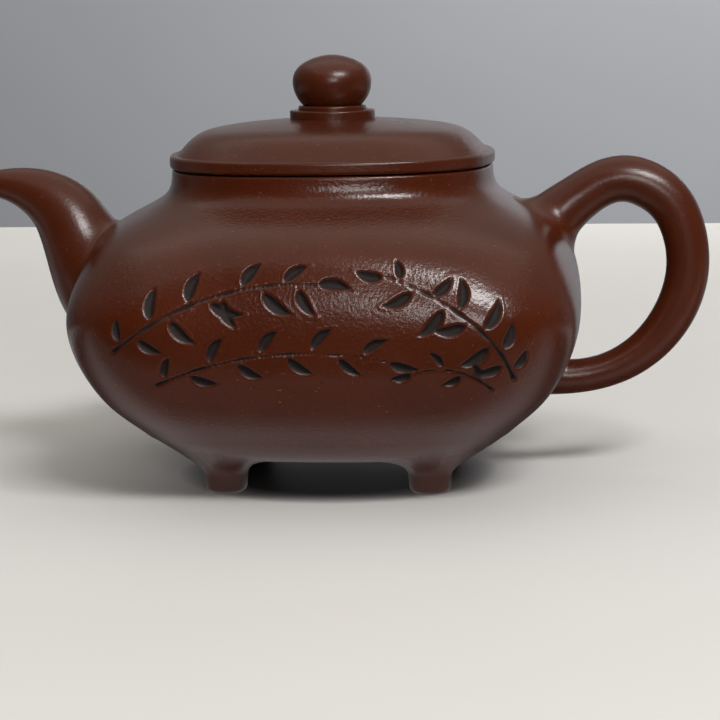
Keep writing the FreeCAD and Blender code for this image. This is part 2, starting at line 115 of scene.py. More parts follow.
def spline(knots, rows, at):
    """A natural cubic spline through the rows, at parameters."""
    knots, rows, at = np.asarray(knots, float), np.asarray(rows, float), np.asarray(at, float)
    step = np.diff(knots)
    count = len(knots)
    system = np.eye(count)
    right = np.zeros_like(rows)
    for i in range(1, count - 1):
        system[i, i - 1: i + 2] = step[i - 1], 2 * (step[i - 1] + step[i]), step[i]
        right[i] = 6 * ((rows[i + 1] - rows[i]) / step[i] - (rows[i] - rows[i - 1]) / step[i - 1])
    bend = np.linalg.solve(system, right)
    seg = np.clip(np.searchsorted(knots, at, "right") - 1, 0, count - 2)
    low = ((knots[seg + 1] - at) / step[seg])[..., None]
    high = 1 - low
    width = step[seg][..., None]
    curve = ((low ** 3 - low) * bend[seg] + (high ** 3 - high) * bend[seg + 1]) * width ** 2 / 6
    return low * rows[seg] + high * rows[seg + 1] + curve


def chords(rows, columns):
    """Running chord length along some columns of a table."""
    points = np.asarray(rows, float)[:, columns]
    return np.concatenate([[0], np.cumsum(np.linalg.norm(np.diff(points, axis=0), axis=1))])


def even(count):
    """Evenly spaced turns of a full circle."""
    return np.arange(count) * (2 * math.pi / count)


# How far full squareness flattens the sides of a rounded square and tightens its corners.
SIDE_FLATNESS = 0.92
CORNER_TIGHTNESS = 0.6
OUTLINE_STEPS = 1440
OUTLINE_BLUR = 2.0


def reach(angles, half, square):
    """Distance from the axis to a rounded square, one row per half width and one column per angle."""
    half, square = np.asarray(half, float)[:, None], np.asarray(square, float)[:, None]
    side = half / (1 - SIDE_FLATNESS * square)
    corner = half * (1 - CORNER_TIGHTNESS * square)
    gap = side - half
    centre = (np.sqrt(np.maximum(2 * (side - corner) ** 2 - gap ** 2, 0)) - gap) / 2
    swing = np.arctan2(centre, centre + gap)
    meet = np.arctan2(side * np.sin(swing), side * np.cos(swing) - gap)
    turn = np.abs((angles[None, :] + math.pi / 4) % (math.pi / 2) - math.pi / 4)
    on_side = np.sqrt(side ** 2 - (gap * np.sin(turn)) ** 2) - gap * np.cos(turn)
    across = centre * (np.cos(turn) - np.sin(turn))
    on_corner = centre * (np.cos(turn) + np.sin(turn)) + np.sqrt(np.maximum(corner ** 2 - across ** 2, 0))
    return np.where(turn < meet, on_side, on_corner)


def soft_reach(angles, half, square):
    """The same outline with the joints of its arcs eased."""
    fine = even(OUTLINE_STEPS)
    waves = np.fft.rfft(reach(fine, half, square), axis=1)
    order = np.arange(waves.shape[1])
    waves *= np.exp(-0.5 * (order * math.radians(OUTLINE_BLUR)) ** 2)
    smooth = np.fft.irfft(waves, n=len(fine), axis=1)
    return np.array([np.interp(angles, fine, row, period=2 * math.pi) for row in smooth])


def square_grid(angles, rows):
    """Points of rounded-square rows of half width, height and squareness: rows x columns x 3."""
    half, heights, square = np.asarray(rows, float).T
    radius = soft_reach(angles, half, square)
    heights = np.repeat(heights[:, None], len(angles), axis=1)
    return np.stack([radius * np.cos(angles), radius * np.sin(angles), heights], axis=2)


def grid_mesh(name, grid, loop=False):
    """A closed mesh from rows of points: the rows either join up in a loop or end in two caps."""
    rows, cols = grid.shape[:2]
    points = [tuple(p) for p in (grid.reshape(-1, 3) * MM)]
    faces = []
    for r in range(rows if loop else rows - 1):
        low, high = r * cols, (r + 1) % rows * cols
        for c in range(cols):
            d = (c + 1) % cols
            faces.append((low + c, low + d, high + d, high + c))
    if not loop:
        for row, flip in ((0, True), (rows - 1, False)):
            middle = len(points)
            points.append(tuple(grid[row].mean(axis=0) * MM))
            for c in range(cols):
                edge = (row * cols + c, row * cols + (c + 1) % cols)
                faces.append((*reversed(edge), middle) if flip else (*edge, middle))
    mesh = bpy.data.meshes.new(name)
    mesh.from_pydata(points, [], faces)
    mesh.shade_smooth()
    piece = bpy.data.objects.new(name, mesh)
    bpy.context.scene.collection.objects.link(piece)
    return piece


SPREAD_SAMPLES = 2000


def spread(low, high, spacing, ends):
    """Parameters between two ends whose spacing is given at a few places along the way."""
    fine = np.linspace(low, high, SPREAD_SAMPLES)
    density = 1 / np.interp(fine, ends, spacing)
    total = np.concatenate([[0], np.cumsum((density[1:] + density[:-1]) / 2 * np.diff(fine))])
    count = int(round(total[-1]))
    return np.interp(np.linspace(0, total[-1], count + 1), total, fine)


# ---------------------------------------------------------------- incised leaf spray

SPRAY_LOW, SPRAY_HIGH = 23.0, 50.5
SPRAY_ANGLE = 44.0
CUT_DEPTH = 0.85
BURR_WIDTH = 0.35
BURR_HEIGHT = 0.07

# Each branch: start, middle and end on the front (x, z), half width, and the places of its leaves.
# Each leaf: place along the branch, direction in degrees, length, half width, bend.
BRANCHES = [
    ((-37.0, 32.0), (-19.0, 42.0), (1.0, 44.6), 0.50, [
        (0.05, 96, 5.6, 0.62, 0.7),
        (0.13, -30, 6.6, 0.70, -0.9),
        (0.22, 82, 7.4, 0.78, 0.9),
        (0.31, -44, 7.8, 0.80, -1.0),
        (0.41, 68, 7.0, 0.80, 0.9),
        (0.50, -20, 8.0, 0.82, -0.9),
        (0.58, -66, 7.2, 0.76, -0.9),
        (0.67, 50, 6.4, 0.74, 0.8),
        (0.76, -38, 8.4, 0.86, -1.0),
        (0.86, 34, 6.2, 0.72, 0.7),
        (0.93, -58, 7.0, 0.74, -0.8),
        (1.00, -8, 7.6, 0.80, 0.7),
    ]),
    ((-29.0, 25.6), (-8.0, 31.6), (14.0, 30.6), 0.44, [
        (0.04, 74, 5.6, 0.62, 0.6),
        (0.14, -16, 6.8, 0.68, -0.7),
        (0.25, 62, 6.6, 0.74, 0.9),
        (0.36, -30, 6.8, 0.72, -0.8),
        (0.47, 52, 6.6, 0.74, 0.8),
        (0.58, -34, 7.0, 0.72, -0.8),
        (0.69, 46, 6.8, 0.74, 0.8),
        (0.80, -40, 6.4, 0.68, -0.7),
        (0.90, 30, 6.6, 0.70, 0.7),
        (1.00, -14, 7.0, 0.74, -0.6),
    ]),
    ((37.5, 26.5), (30.0, 37.5), (14.5, 46.0), 0.52, [
        (0.06, 58, 5.6, 0.62, -0.7),
        (0.14, 196, 7.0, 0.74, 0.9),
        (0.23, 70, 6.8, 0.74, -0.9),
        (0.32, 214, 8.0, 0.84, 1.0),
        (0.42, 62, 7.2, 0.78, -0.9),
        (0.51, 190, 7.6, 0.80, 0.9),
        (0.60, 88, 6.8, 0.76, -0.9),
        (0.69, 228, 8.2, 0.84, 1.0),
        (0.78, 40, 5.6, 0.68, -0.7),
        (0.86, 206, 7.2, 0.76, 0.8),
        (0.94, 104, 4.2, 0.56, -0.5),
        (1.00, 168, 6.4, 0.72, 0.6),
    ]),
    ((33.5, 24.6), (27.0, 28.4), (19.5, 28.2), 0.36, [
        (0.15, 118, 4.6, 0.54, -0.5),
        (0.40, 206, 5.0, 0.56, 0.6),
        (0.66, 128, 4.6, 0.54, -0.5),
        (1.00, 192, 5.4, 0.60, 0.5),
    ]),
]
STEM_STEPS = 90
STEM_JOINTS = 5
LEAF_STEPS = 26
LEAF_STALK = 0.16
THINNEST_MARK = 0.08
# The part of the wall that is searched for marks: half its length, what it adds above and below, its front.
CARVED_HALF = 42
CARVED_MARGIN = 2
CARVED_FRONT = -32
# Marks of this half width or more are cut to the full depth.
FULL_CUT_HALF = 0.8
# How many points are measured against the marks at a time.
CHUNK_POINTS = 2000


def curve_points(start, middle, end, at):
    """A quadratic curve through three points, at parameters from 0 to 1."""
    start, middle, end = (np.asarray(p, float) for p in (start, middle, end))
    pull = 2 * middle - (start + end) / 2
    at = at[:, None]
    return (1 - at) ** 2 * start + 2 * at * (1 - at) * pull + at ** 2 * end


def stem_mark(start, middle, end, half):
    """A branch, slightly thicker at its joints and thinner towards its end: rows of x, z and half width."""
    at = np.linspace(0, 1, STEM_STEPS)
    joints = 0.75 + 0.35 * np.abs(np.cos(math.pi * STEM_JOINTS * at)) ** 6
    taper = 1.05 - 0.5 * at
    return np.column_stack([curve_points(start, middle, end, at), half * joints * taper])


def leaf_mark(root, degrees, length, leaf_half, bend):
    """A bent leaf on a short stalk: rows of x, z and half width."""
    turn = math.radians(degrees)
    along = np.array([math.cos(turn), math.sin(turn)])
    across = np.array([-math.sin(turn), math.cos(turn)])
    step = np.linspace(0, 1, LEAF_STEPS)
    spine = root + step[:, None] * length * along + (bend * np.sin(math.pi * step))[:, None] * across
    blade = np.clip((step - LEAF_STALK) / (1 - LEAF_STALK), 0, 1)
    width = leaf_half * (0.22 + 1.35 * np.sin(math.pi * blade ** 0.75)) * (1 - 0.85 * blade ** 3)
    return np.column_stack([spine, np.maximum(width, THINNEST_MARK)])


def spray_marks():
    """Every tool mark as rows of x, z and half width."""
    marks = []
    for start, middle, end, half, leaves in BRANCHES:
        marks.append(stem_mark(start, middle, end, half))
        for place, *leaf in leaves:
            root = curve_points(start, middle, end, np.array([place]))[0]
            marks.append(leaf_mark(root, *leaf))
    return np.concatenate(marks)


def carved_places(points):
    """Which points lie on the front, where the spray is."""
    front = points[:, 1] < CARVED_FRONT
    above = points[:, 2] > SPRAY_LOW - CARVED_MARGIN
    below = points[:, 2] < SPRAY_HIGH + CARVED_MARGIN
    return np.nonzero(front & above & below & (np.abs(points[:, 0]) < CARVED_HALF))[0]


def carving(points):
    """Cut depth and burr height in millimetres at each point of the wall, from its x and z."""
    marks = spray_marks()
    wide = marks[None, :, 2]
    depth = np.zeros(len(points))
    burr = np.zeros(len(points))
    places = carved_places(points)
    for chunk in np.array_split(places, len(places) // CHUNK_POINTS):
        gap = points[chunk][:, None, [0, 2]] - marks[None, :, :2]
        away = np.linalg.norm(gap, axis=2)
        shape = np.clip(1 - away / wide, 0, 1) * np.minimum(wide / FULL_CUT_HALF, 1) ** 0.7
        deepest = shape.max(axis=1)
        depth[chunk] = CUT_DEPTH * np.sqrt(deepest) * np.minimum(deepest * 3, 1)
        rim = (away - wide).min(axis=1) / BURR_WIDTH
        burr[chunk] = BURR_HEIGHT * np.exp(-((rim - 0.5) * 2) ** 2)
    burr[depth > 0] = 0
    return depth, burr


# ---------------------------------------------------------------- pot wall

# Height of the rounded bottom edge, and how far in along the underside it starts, in such heights.
EDGE_ROUND = 4.0
EDGE_RUN = 2.2
RIM_ROUND = 0.5
FLOOR_TOP = 10.7
# Where the inner wall turns into the floor: the height it leaves the wall at, and its run along the floor.
FLOOR_ROUND = 1.6
FLOOR_BLEND = 5
# How far below the rim, along the wall, the inner surface starts.
INNER_START = 1.5
# Rows of each stretch of the section.
UNDERSIDE_ROWS = 12
EDGE_ROWS = 7
RIM_ROWS = 5
RIM_LEVEL_ROWS = 2
INNER_ROWS = 40
FLOOR_TURN_ROWS = 6
FLOOR_ROWS = 8
# Half width of the innermost row, whose middle is closed by a cap.
CAP_HALF = 0.6
# Distance between rows along the wall: plain, carved and at the rim, and how softly it changes.
ROW_STEPS = (0.8, 0.3, 0.55)
ROW_FADE = 3
# Degrees between columns: plain and carved, and how softly they change.
COLUMN_STEPS = (1.8, 0.34)
COLUMN_FADE = 8
FRONT_ANGLE = 270.0


def quarter(centre_half, centre_z, radius, start, end):
    """Half width and height along an arc of the rim, angles in degrees."""
    turn = np.radians(np.linspace(start, end, RIM_ROWS))
    return np.column_stack([centre_half + radius * np.cos(turn), centre_z + radius * np.sin(turn)])


def pulled_curve(start, corner, finish, shares):
    """Points of a quadratic curve that is pulled towards a corner."""
    start, corner, finish = (np.asarray(p, float) for p in (start, corner, finish))
    return [(1 - t) ** 2 * start + 2 * t * (1 - t) * corner + t ** 2 * finish for t in shares]


def outer_rows(knots):
    """Height, half width and squareness up the outer surface, close together across the carved zone."""
    heights = np.array(BODY_LEVELS)[:, 0]
    zone_low, zone_high = np.interp((SPRAY_LOW, SPRAY_HIGH), heights, knots)
    plain, carved, rim = ROW_STEPS
    ends = [knots[0], zone_low - ROW_FADE, zone_low, zone_high, zone_high + ROW_FADE, knots[-1]]
    at = spread(knots[0], knots[-1], [plain, plain, carved, carved, plain, rim], ends)
    outer = spline(knots, BODY_LEVELS, at)
    return outer[outer[:, 0] > BODY_LEVELS[0][0] + EDGE_ROUND]


def base_rows(join):
    """The underside and the rounded edge that leads up to the lowest row of the wall."""
    base_z, base_half, square = BODY_LEVELS[0]
    edge_start = join[1] - EDGE_ROUND * EDGE_RUN
    underside = [(h, base_z) for h in np.linspace(CAP_HALF, edge_start, UNDERSIDE_ROWS)]
    shares = np.linspace(0, 1, EDGE_ROWS + 2)[1:-1]
    edge = pulled_curve((edge_start, base_z), (base_half, base_z), (join[1], join[0]), shares)
    return [(h, z, square) for h, z in [*underside, *edge]]


def rim_rows(top, half, square):
    """The rounded rim of the neck, from its outer side over the top to its inner side."""
    outer_half = half - RIM_ROUND
    inner_half = half - WALL + RIM_ROUND
    outside = quarter(outer_half, top - RIM_ROUND, RIM_ROUND, 0, 90)
    level = [(h, top) for h in np.linspace(outer_half, inner_half, RIM_LEVEL_ROWS + 2)[1:-1]]
    inside = quarter(inner_half, top - RIM_ROUND, RIM_ROUND, 90, 180)
    return [(h, z, square) for h, z in [*outside, *level, *inside]]


def inner_rows(knots):
    """The inner surface, the wall's thickness inside the outer one, down to the floor and across it."""
    at = np.linspace(knots[-1] - INNER_START, knots[0], INNER_ROWS)
    here = spline(knots, BODY_LEVELS, at)
    along = (spline(knots, BODY_LEVELS, at - 0.01) - here)[:, :2]
    along /= np.linalg.norm(along, axis=1)[:, None]
    inner_half = here[:, 1] + WALL * along[:, 0]
    inner_z = here[:, 0] - WALL * along[:, 1]
    keep = inner_z > FLOOR_TOP + FLOOR_ROUND
    rows = list(zip(inner_half[keep], inner_z[keep], here[keep, 2]))
    last_half, last_z, square = rows[-1]
    corner = (last_half - FLOOR_ROUND, FLOOR_TOP)
    finish = (last_half - FLOOR_BLEND, FLOOR_TOP)
    shares = np.linspace(0, 1, FLOOR_TURN_ROWS + 1)[1:]
    rows += [(h, z, square) for h, z in pulled_curve((last_half, last_z), corner, finish, shares)]
    rows += [(h, FLOOR_TOP, square) for h in np.linspace(finish[0], CAP_HALF, FLOOR_ROWS + 1)[1:]]
    return rows


def body_rows():
    """Half width, height and squareness round the wall's section, from the base to the inner floor."""
    knots = chords(BODY_LEVELS, [0, 1])
    outer = outer_rows(knots)
    rows = base_rows(outer[0])
    rows += [(h, z, s) for z, h, s in outer[outer[:, 0] < outer[-1, 0] - RIM_ROUND]]
    rows += rim_rows(*outer[-1])
    rows += inner_rows(knots)
    return rows


def body_angles():
    """Column angles, close together across the carved front."""
    plain, carved = COLUMN_STEPS
    near, far = SPRAY_ANGLE, SPRAY_ANGLE + COLUMN_FADE
    ends = FRONT_ANGLE + np.array([-180, -far, -near, near, far, 180])
    columns = spread(ends[0], ends[-1], [plain, plain, carved, carved, plain, plain], ends)
    return np.radians(columns[:-1])


def surface_normals(grid):
    """Outward directions of a grid of rows, from its neighbours."""
    along = np.gradient(grid, axis=0)
    around = np.roll(grid, -1, axis=1) - np.roll(grid, 1, axis=1)
    out = np.cross(around, along)
    return out / np.linalg.norm(out, axis=2)[..., None]


def pot_wall():
    """Base, wall, shoulder and neck as one clay skin, with the spray cut into the front.
    Returned with a search tree of the skin before it was cut."""
    grid = square_grid(body_angles(), body_rows())
    plain = grid_mesh("plain_wall", grid)
    corners = [v.co.copy() for v in plain.data.vertices]
    tree = BVHTree.FromPolygons(corners, [p.vertices[:] for p in plain.data.polygons])
    bpy.data.objects.remove(plain)
    points = grid.reshape(-1, 3)
    depth, burr = carving(points)
    carved = points + surface_normals(grid).reshape(-1, 3) * (burr - depth)[:, None]
    piece = grid_mesh("pot_wall", carved.reshape(grid.shape))
    mark = piece.data.attributes.new("cut", "FLOAT", "POINT")
    values = np.zeros(len(piece.data.vertices))
    values[: len(depth)] = depth / CUT_DEPTH
    mark.data.foreach_set("value", values)
    return piece, tree


# ---------------------------------------------------------------- parts luted to the wall

# How deep the hidden ends of the parts sit below the wall's surface.
SINK = 1.6
# Nothing nearer than this to the pot's axis is outside the wall at the height of the roots.
AXIS_CLEAR = 36
# A fillet's size is given at these two heights.
FLARE_HEIGHTS = (30.0, 50.0)
HANDLE_FLARES = (0.9, 3.0)
SPOUT_FLARES = (0.7, 1.5)
# Under the surface a fillet runs on this much sideways for each unit of depth, down to this depth.
FLARE_DIVE = 3.0
FLARE_DEPTH = 0.35

HANDLE_TURNS = 56
HANDLE_ROWS = 150
HANDLE_CROWD = 1.7
HANDLE_SEARCH = (16, 14)
HANDLE_SAMPLES = 80
SPOUT_TURNS = 72
SPOUT_ROWS = 110
SPOUT_CROWD = 1.5
SPOUT_SEARCH = 22
LIP_ANGLES = (30, 60, 90, 120, 150)
FOOT_TURNS = 112
FOOT_SIDE_ROWS = 16
FOOT_STEPS = 26
# The height from which the body is searched for, straight up.
SEARCH_HEIGHT = -5
# How far below the body's surface the last visible row of a foot's blend lies.
FOOT_TUCK = 0.12


def signed_gap(tree, point):
    """How far a point lies outside the wall, in millimetres, and the direction the wall faces there."""
    place, normal, _, _ = tree.find_nearest(Vector(point * MM))
    return (Vector(point * MM) - place).dot(normal) / MM, np.array(normal)


def tube_points(stations, at, turn):
    """Points of a round tube in the XZ plane at parameters and turns, with their outward directions.
    A fourth number of a station is the climb of its section in degrees; without it sections stand square."""
    knots = chords(stations, [0, 1])
    here = spline(knots, stations, at)
    if here.shape[-1] > 3:
        climb = np.radians(here[..., 3])
        along = np.stack([-np.cos(climb), np.sin(climb)], axis=-1)
    else:
        along = (spline(knots, stations, at + 0.01) - here)[..., :2]
        along /= np.linalg.norm(along, axis=-1)[..., None]
    side = np.stack([-along[..., 1] * np.cos(turn), np.sin(turn), along[..., 0] * np.cos(turn)], axis=-1)
    middle = np.stack([here[..., 0], np.zeros_like(turn), here[..., 1]], axis=-1)
    return middle + side * here[..., 2][..., None], side


def crossing(tree, stations, turn, samples):
    """Where one line along a tube passes SINK below the wall, for samples that start inside it."""
    points, _ = tube_points(stations, samples, np.full(len(samples), turn))
    last = -SINK
    for n, point in enumerate(points):
        gap, _ = signed_gap(tree, point)
        inside = np.hypot(point[0], point[1]) < AXIS_CLEAR
        if gap > -SINK and not inside and n:
            share = 0 if gap == last else np.clip((-SINK - last) / (gap - last), 0, 1)
            return samples[n - 1] + (samples[n] - samples[n - 1]) * share
        last = gap
    return samples[-1]


def flare(tree, points, outward, sizes):
    """Ease the roots of a part into the wall: points near the wall move out along it on a round fillet.
    The fillet goes from its first size to its second between the two flare heights."""
    moved = points.copy()
    for index in np.ndindex(points.shape[:2]):
        gap, normal = signed_gap(tree, points[index])
        size = np.interp(points[index][2], FLARE_HEIGHTS, sizes)
        if gap >= size:
            continue
        rise = size - max(gap, 0)
        out = size - math.sqrt(size ** 2 - rise ** 2)
        out += FLARE_DIVE * min(max(-gap, 0), FLARE_DEPTH)
        direction = outward[index] - normal * outward[index].dot(normal)
        length = np.linalg.norm(direction)
        if length > 1e-6:
            place = points[index] + direction / length * out
            new_gap, new_normal = signed_gap(tree, place)
            moved[index] = place + new_normal * (gap - new_gap)
    return moved


def ease_ends(count, power):
    """Shares from 0 to 1 that crowd towards both ends."""
    t = np.linspace(0, 1, count)
    return np.where(t < 0.5, 0.5 * (2 * t) ** power, 1 - 0.5 * (2 - 2 * t) ** power)


def handle(tree):
    """The rolled ear handle with its roots eased onto the shoulder and the lower wall."""
    far = chords(HANDLE_STATIONS, [0, 1])[-1]
    turns = even(HANDLE_TURNS)
    upper = np.linspace(0, HANDLE_SEARCH[0], HANDLE_SAMPLES)
    lower = np.linspace(far, far - HANDLE_SEARCH[1], HANDLE_SAMPLES)
    start = np.array([crossing(tree, HANDLE_STATIONS, t, upper) for t in turns])
    end = np.array([crossing(tree, HANDLE_STATIONS, t, lower) for t in turns])
    share = ease_ends(HANDLE_ROWS, HANDLE_CROWD)[:, None]
    rows = np.repeat(turns[None, :], HANDLE_ROWS, axis=0)
    points, outward = tube_points(HANDLE_STATIONS, start + (end - start) * share, rows)
    points = flare(tree, points, outward, HANDLE_FLARES)
    return grid_mesh("handle_roll", points[:, ::-1])


def lip_rows(outer, inner, size):
    """The rounded lip between the last outer and the last inner row of the spout."""
    middle = (outer + inner) / 2
    across = (outer - inner) / 2
    ahead = np.array([-1.0, 0, 0])
    turns = np.radians(LIP_ANGLES)
    return np.array([middle + across * math.cos(t) + ahead * size * math.sin(t) for t in turns])


def spout(tree):
    """The hollow horn with its root eased onto the wall and a rounded lip."""
    turns = even(SPOUT_TURNS)
    bore = [(x, z, r - w, climb) for (x, z, r, climb), w in zip(SPOUT_STATIONS, SPOUT_WALLS)]
    samples = np.linspace(0, SPOUT_SEARCH, SPOUT_ROWS)
    start = np.array([crossing(tree, SPOUT_STATIONS, t, samples) for t in turns])
    bore_start = np.array([crossing(tree, bore, t, samples) for t in turns])
    lip = SPOUT_WALLS[-1] / 2
    tip = chords(SPOUT_STATIONS, [0, 1])[-1] - lip
    share = np.linspace(0, 1, SPOUT_ROWS)[:, None] ** SPOUT_CROWD
    rows = np.repeat(turns[None, :], SPOUT_ROWS, axis=0)
    outer, outward = tube_points(SPOUT_STATIONS, start + (tip - start) * share, rows)
    outer = flare(tree, outer, outward, SPOUT_FLARES)
    inner, _ = tube_points(bore, bore_start + (tip - bore_start) * share, rows)
    grid = np.concatenate([outer, lip_rows(outer[-1], inner[-1], lip), inner[::-1]])
    return grid_mesh("spout_horn", grid[:, ::-1], loop=True)


def foot_rows():
    """Half width, height and squareness of the upright part of a foot, from the middle of its sole."""
    levels = np.array(FOOT_LEVELS)
    knots = chords(FOOT_LEVELS, [0, 1])
    sole = [(0.0, half, levels[0, 2]) for half in SOLE_HALVES]
    rows = np.concatenate([sole, spline(knots, levels, np.linspace(0.1, knots[-1], FOOT_SIDE_ROWS))])
    return rows[:, [1, 0, 2]]


def foot_reaches(turns):
    """How far from its middle a foot's blend lands, further towards the outer corner of the pot."""
    outward = np.clip((np.maximum(np.cos(turns), np.sin(turns)) + 0.1) / 0.9, 0, 1)
    near, far = FOOT_REACH
    return near + (far - near) * outward ** 2 * (3 - 2 * outward)


def landing(tree, spot, sides):
    """Where a line straight up from below a spot meets the body, and the body's direction there."""
    below = Vector((spot * sides + [0, 0, SEARCH_HEIGHT]) * MM)
    place, normal, _, _ = tree.ray_cast(below, Vector((0, 0, 1)))
    return np.array(place) / MM * sides, np.array(normal) * sides


def foot_blend(start, land, normal, way, width):
    """One line of a foot's blend: it leaves the foot upright, lands along the body and dips into it."""
    along = -way + normal * way.dot(normal)
    along /= np.linalg.norm(along)
    first = start + [0, 0, FOOT_RISE]
    second = land + along * width * FOOT_PULL
    share = np.linspace(0, 1, FOOT_STEPS + 1)[1:, None]
    curve = (1 - share) ** 3 * start + 3 * share * (1 - share) ** 2 * first
    curve = curve + 3 * share ** 2 * (1 - share) * second + share ** 3 * land
    return np.concatenate([curve[:-1], [land - normal * FOOT_TUCK, land - normal * SINK]])


def foot(name, side_x, side_y, tree):
    """A short foot whose sides curve out and run into the underside and the flank.
    It is shaped for the corner at positive x and y and mirrored to its own."""
    sides = np.array([side_x, side_y, 1])
    middle = np.array([FOOT_CENTRE, FOOT_CENTRE, 0])
    turns = even(FOOT_TURNS)
    upright = square_grid(turns, foot_rows()) + middle
    blend = np.zeros((FOOT_STEPS + 1, FOOT_TURNS, 3))
    for column, (turn, distance) in enumerate(zip(turns, foot_reaches(turns))):
        way = np.array([math.cos(turn), math.sin(turn), 0])
        land, normal = landing(tree, middle + way * distance, sides)
        start = upright[-1, column]
        width = distance - np.linalg.norm(start[:2] - middle[:2])
        blend[:, column] = foot_blend(start, land, normal, way, width)
    grid = np.concatenate([upright, blend]) * sides
    if side_x * side_y < 0:
        grid = grid[:, ::-1]
    return grid_mesh(name, grid)


# ---------------------------------------------------------------- materials


def noise(tree, coords, scale, detail=2.0, rough=0.5, stretch=None):
    """A noise value in object space, with the scale in waves per metre."""
    vector = coords
    if stretch:
        mapping = tree.nodes.new("ShaderNodeMapping")
        mapping.inputs["Scale"].default_value = stretch
        tree.links.new(coords, mapping.inputs["Vector"])
        vector = mapping.outputs["Vector"]
    made = tree.nodes.new("ShaderNodeTexNoise")
    made.inputs["Scale"].default_value = scale
    made.inputs["Detail"].default_value = detail
    made.inputs["Roughness"].default_value = rough
    tree.links.new(vector, made.inputs["Vector"])
    return made.outputs["Fac"]


def ramp(tree, value, stops):
    """A colour ramp over a value; the stops are place and colour or grey."""
    made = tree.nodes.new("ShaderNodeValToRGB")
    elements = made.color_ramp.elements
    while len(elements) < len(stops):
        elements.new(0.5)
    for element, (place, colour) in zip(elements, stops):
        element.position = place
        element.color = (*colour, 1) if isinstance(colour, tuple) else (colour, colour, colour, 1)
    tree.links.new(value, made.inputs["Fac"])
    return made.outputs["Color"]


def feed(tree, value, socket):
    """Give a node's input a socket to follow, a plain colour or a number."""
    if isinstance(value, bpy.types.NodeSocket):
        tree.links.new(value, socket)
    elif isinstance(value, tuple):
        socket.default_value = (*value, 1)
    else:
        socket.default_value = value


def mix(tree, share, first, second, blend="MIX"):
    """Mix two colours; each may be a socket or a plain colour."""
    made = tree.nodes.new("ShaderNodeMix")
    made.data_type = "RGBA"
    made.blend_type = blend
    feed(tree, share, made.inputs["Factor"])
    feed(tree, first, made.inputs[6])
    feed(tree, second, made.inputs[7])
    return made.outputs[2]


def math_node(tree, operation, *values):
    """The result of a sum over sockets and numbers."""
    made = tree.nodes.new("ShaderNodeMath")
    made.operation = operation
    for value, socket in zip(values, made.inputs):
        feed(tree, value, socket)
    return made.outputs[0]


def new_material(name):
    """A material with its tree, its shader and the coordinates of the object it is on."""
    material = bpy.data.materials.new(name)
    material.use_nodes = True
    tree = material.node_tree
    coords = tree.nodes.new("ShaderNodeTexCoord").outputs["Object"]
    return material, tree, tree.nodes["Principled BSDF"], coords


CLAY_DARK = (0.055, 0.0086, 0.0014)
CLAY_LIGHT = (0.071, 0.0122, 0.0024)
CLAY_DUST = (0.090, 0.022, 0.008)
CLAY_SPECK = (0.17, 0.075, 0.045)
CLAY_PIT = (0.022, 0.005, 0.002)
# Painted shade for the inside of the cuts, darker than the clay as if in their own shadow.
CLAY_CUT_SHADE = (0.010, 0.003, 0.0015)

# Waves per metre.
CLOUD_SCALE = 55
STROKE_SCALE = 700
SPECK_SCALE = 1500
DIMPLE_SCALE = 1500
GRAIN_SCALE = 2600
STROKE_STRETCH = (0.45, 0.45, 1.8)

# What each pattern adds to the roughness.
CLOUD_ROUGH = 0.10
STROKE_ROUGH = 0.06
CUT_ROUGH = 0.55
# What grain and strokes add to the relief of the dimples, and the depth of the whole in metres.
GRAIN_RELIEF = 0.25
STROKE_RELIEF = 0.45
RELIEF_DEPTH = 0.00012


def clay_colour(tree, coords, clouds, grain):
    """Cloudy red brown with paler grain, pale specks and dark pits."""
    specks = noise(tree, coords, SPECK_SCALE, 1, 0.4)
    colour = ramp(tree, clouds, [(0.3, CLAY_DARK), (0.7, CLAY_LIGHT)])
    colour = mix(tree, ramp(tree, grain, [(0.42, 0.0), (0.75, 0.22)]), colour, CLAY_DUST)
    colour = mix(tree, ramp(tree, specks, [(0.72, 0.0), (0.77, 0.45)]), colour, CLAY_SPECK)
    return mix(tree, ramp(tree, specks, [(0.24, 0.5), (0.29, 0.0)]), colour, CLAY_PIT)


def clay_relief(tree, coords, grain, strokes, strength):
    """The surface direction of a skin with dimples, fine grain and burnishing strokes."""
    height = noise(tree, coords, DIMPLE_SCALE, 2, 0.5)
    height = math_node(tree, "MULTIPLY_ADD", grain, GRAIN_RELIEF, height)
    height = math_node(tree, "MULTIPLY_ADD", strokes, STROKE_RELIEF, height)
    bump = tree.nodes.new("ShaderNodeBump")
    bump.inputs["Strength"].default_value = strength
    bump.inputs["Distance"].default_value = RELIEF_DEPTH
    tree.links.new(height, bump.inputs["Height"])
    return bump.outputs["Normal"]


def clay(name, polish, relief, carved=False):
    """Fired purple clay: a burnished skin over fine sandy grain; cuts are dull and carry painted shade in
    their colour.
    """
    material, tree, shader, coords = new_material(name)
    clouds = noise(tree, coords, CLOUD_SCALE, 3, 0.55)
    grain = noise(tree, coords, GRAIN_SCALE, 3, 0.65)
    strokes = noise(tree, coords, STROKE_SCALE, 3, 0.6, stretch=STROKE_STRETCH)
    colour = clay_colour(tree, coords, clouds, grain)
    rough = math_node(tree, "MULTIPLY_ADD", clouds, CLOUD_ROUGH, polish)
    rough = math_node(tree, "MULTIPLY_ADD", strokes, STROKE_ROUGH, rough)
    if carved:
        cut = tree.nodes.new("ShaderNodeAttribute")
        cut.attribute_name = "cut"
        inside = ramp(tree, cut.outputs["Fac"], [(0.06, 0.0), (0.45, 1.0)])
        # Painted shade: the colour inside the cuts is darkened as if by their own shadow; the roughness
        # below is their real dullness.
        colour = mix(tree, inside, colour, CLAY_CUT_SHADE)
        rough = math_node(tree, "MULTIPLY_ADD", inside, CUT_ROUGH, rough)
    tree.links.new(colour, shader.inputs["Base Color"])
    tree.links.new(rough, shader.inputs["Roughness"])
    tree.links.new(clay_relief(tree, coords, grain, strokes, relief), shader.inputs["Normal"])
    return material


STAGE_SPECULAR = 0.15
